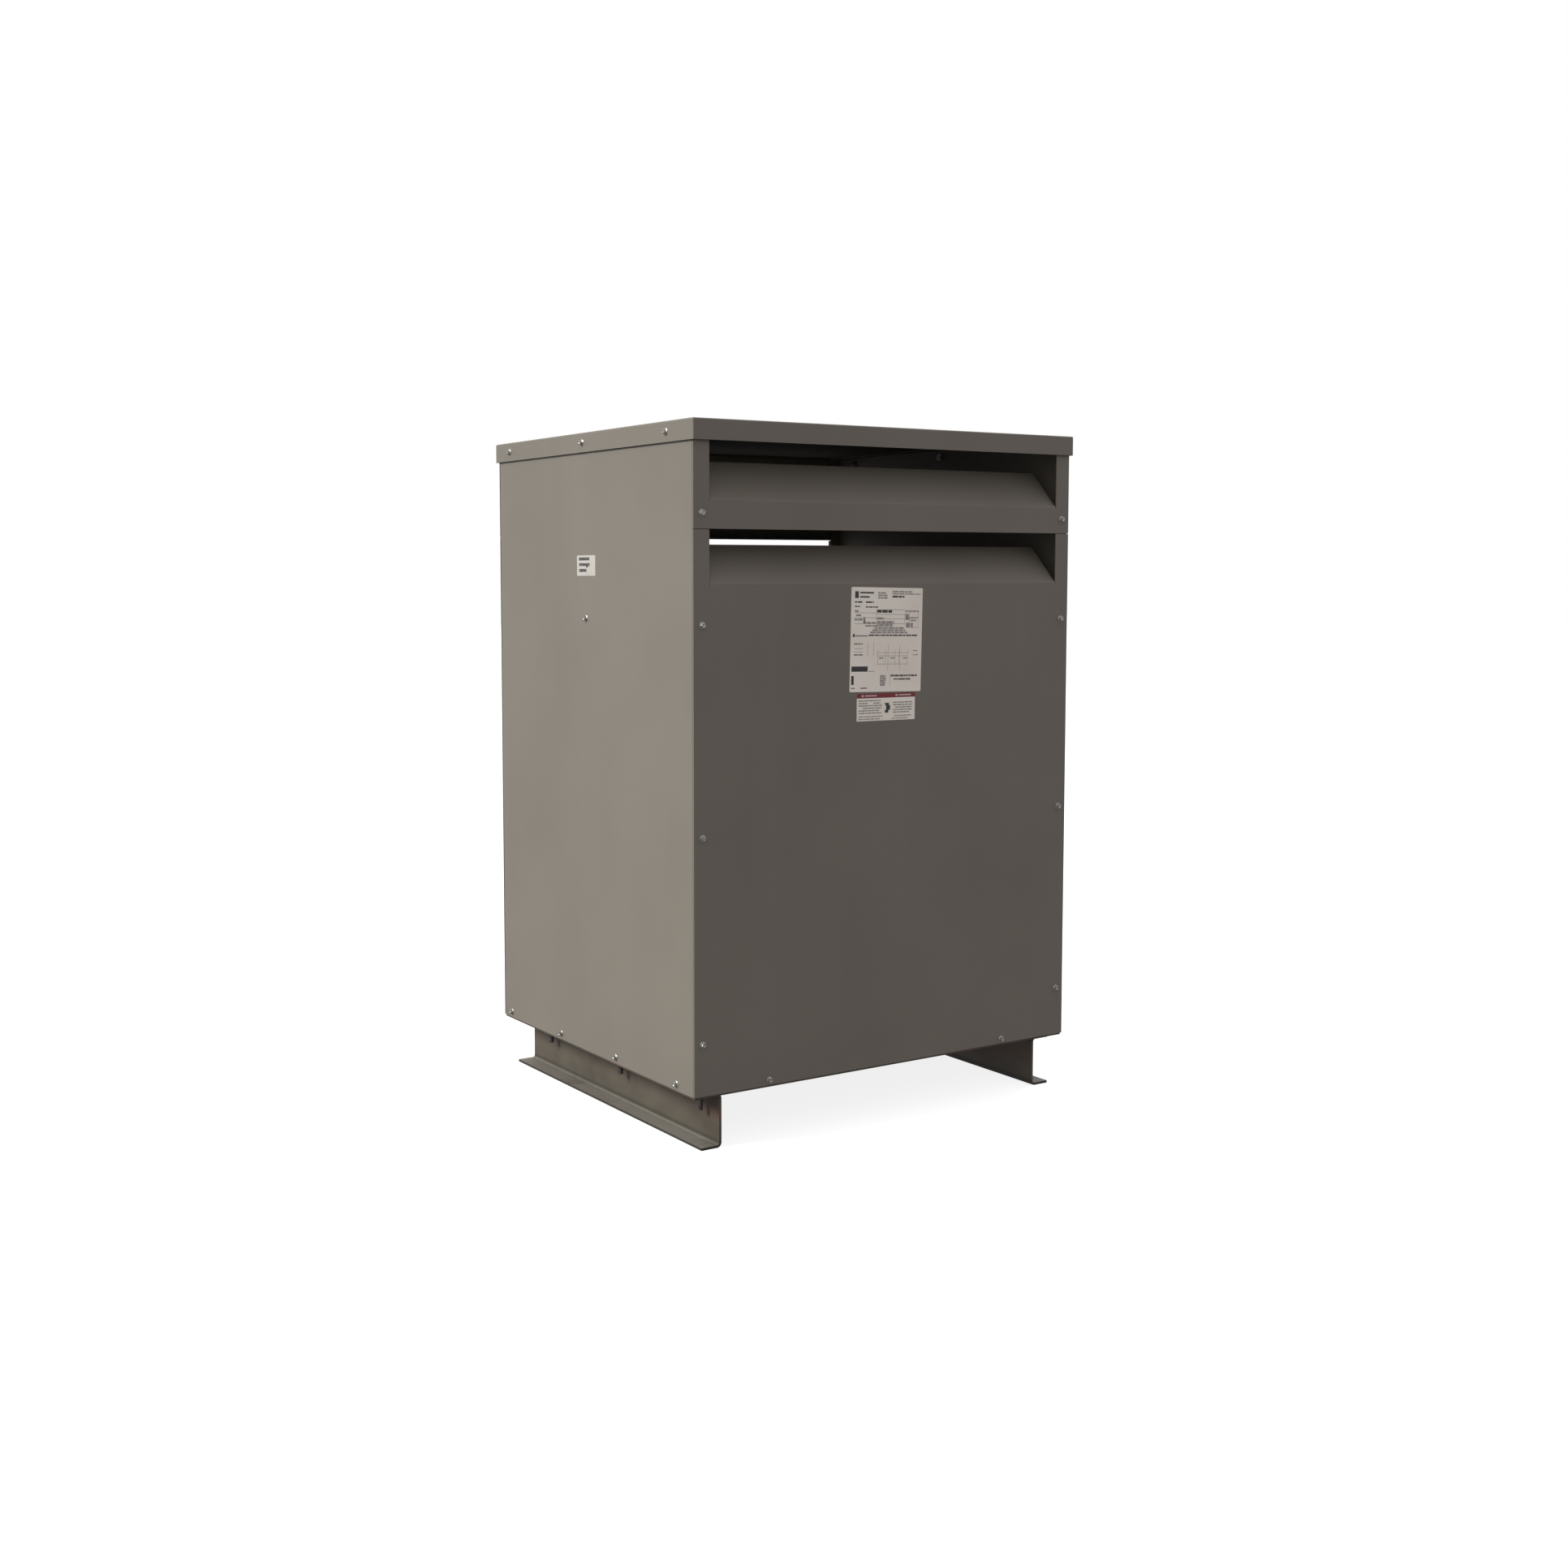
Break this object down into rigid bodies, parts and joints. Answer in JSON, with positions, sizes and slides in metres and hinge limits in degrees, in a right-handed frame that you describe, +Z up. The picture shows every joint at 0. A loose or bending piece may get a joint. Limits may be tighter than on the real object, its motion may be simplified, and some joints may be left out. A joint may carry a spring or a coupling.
{
  "type": "ventilated dry-type distribution transformer",
  "caption": "Floor-standing ventilated dry-type transformer: louvered grey steel cabinet on channel feet around a laminated core with windings, taps and terminal bars.",
  "frame": {"origin": "on the floor under the middle of the cabinet", "axes": "+X along the front towards the viewer's right, the front faces -Y, +Z up"},
  "size_m": [0.8278, 0.703, 1.195],
  "materials": {
    "cabinet_paint": "satin baked enamel, warm grey",
    "foot_paint": "satin baked enamel, warm grey",
    "zinc_steel": "zinc plated",
    "core_steel": "varnished silicon-steel laminations",
    "clamp_paint": "dark semi-gloss primer",
    "low_winding_foil": "foil with varnished insulation",
    "high_winding_varnish": "wire wound, amber varnish over insulation sheet",
    "insulation_tube": "aramid sheet and glass-resin sticks",
    "insulation_board": "glass-polyester laminate",
    "bus_aluminium": "milled flat bar",
    "stud_brass": "turned",
    "lead_sleeve": "insulating sleeve over conductor",
    "strap_copper": "tinned copper strip",
    "isolator_rubber": "moulded",
    "standoff_resin": "moulded resin",
    "nameplate_film": "printed film",
    "label_film": "printed film"
  },
  "bodies": {
    "cabinet": {"barrier_tubes": "insulation_tube", "bus_board": "insulation_board", "bus_brackets": "clamp_paint", "cabinet_screws": "zinc_steel", "centre_high_voltage_winding": "high_winding_varnish", "centre_low_voltage_winding": "low_winding_foil", "coil_support_blocks": "insulation_board", "core_bolts": "zinc_steel", "core_centre_leg": "core_steel", "core_earth_strap": "strap_copper", "core_left_leg": "core_steel", "core_lower_yoke": "core_steel", "core_nuts": "zinc_steel", "core_right_leg": "core_steel", "core_upper_yoke": "core_steel", "delta_leads": "lead_sleeve", "earth_bracket": "zinc_steel", "floor_pan": "foot_paint", "front_mounting_rail": "clamp_paint", "front_upper_cover": "cabinet_paint", "ground_bar": "bus_aluminium", "ground_standoffs": "standoff_resin", "high_voltage_terminals": "bus_aluminium", "left_foot": "foot_paint", "left_high_voltage_winding": "high_winding_varnish", "left_low_voltage_winding": "low_winding_foil", "left_side_panel": "cabinet_paint", "lifting_lugs": "clamp_paint", "low_voltage_bars": "bus_aluminium", "lower_front_clamp": "clamp_paint", "lower_rear_clamp": "clamp_paint", "neutral_bar": "bus_aluminium", "pan_bolts": "zinc_steel", "pan_nuts": "zinc_steel", "rear_mounting_rail": "clamp_paint", "rear_upper_cover": "cabinet_paint", "right_foot": "foot_paint", "right_high_voltage_winding": "high_winding_varnish", "right_low_voltage_winding": "low_winding_foil", "right_side_panel": "cabinet_paint", "roof_cover": "cabinet_paint", "side_label": "label_film", "tap_boards": "insulation_board", "tap_links": "stud_brass", "tap_nuts": "stud_brass", "tap_studs": "stud_brass", "upper_front_clamp": "clamp_paint", "upper_rear_clamp": "clamp_paint", "vibration_isolators": "isolator_rubber", "weld_nuts": "zinc_steel", "winding_formers": "insulation_tube", "winding_spacers": "insulation_tube"},
    "front_access_cover": {"front_lower_cover": "cabinet_paint", "front_lower_cover_screws": "zinc_steel", "nameplate": "nameplate_film", "warning_label": "label_film"},
    "rear_access_cover": {"rear_lower_cover": "cabinet_paint", "rear_lower_cover_screws": "zinc_steel"}
  },
  "joints": [
    {"name": "front_cover_pull", "type": "slide", "parent": "cabinet", "child": "front_access_cover", "axis": [0, -1, 0], "range_m": [0, 0.3]},
    {"name": "rear_cover_pull", "type": "slide", "parent": "cabinet", "child": "rear_access_cover", "axis": [0, 1, 0], "range_m": [0, 0.3]}
  ]
}
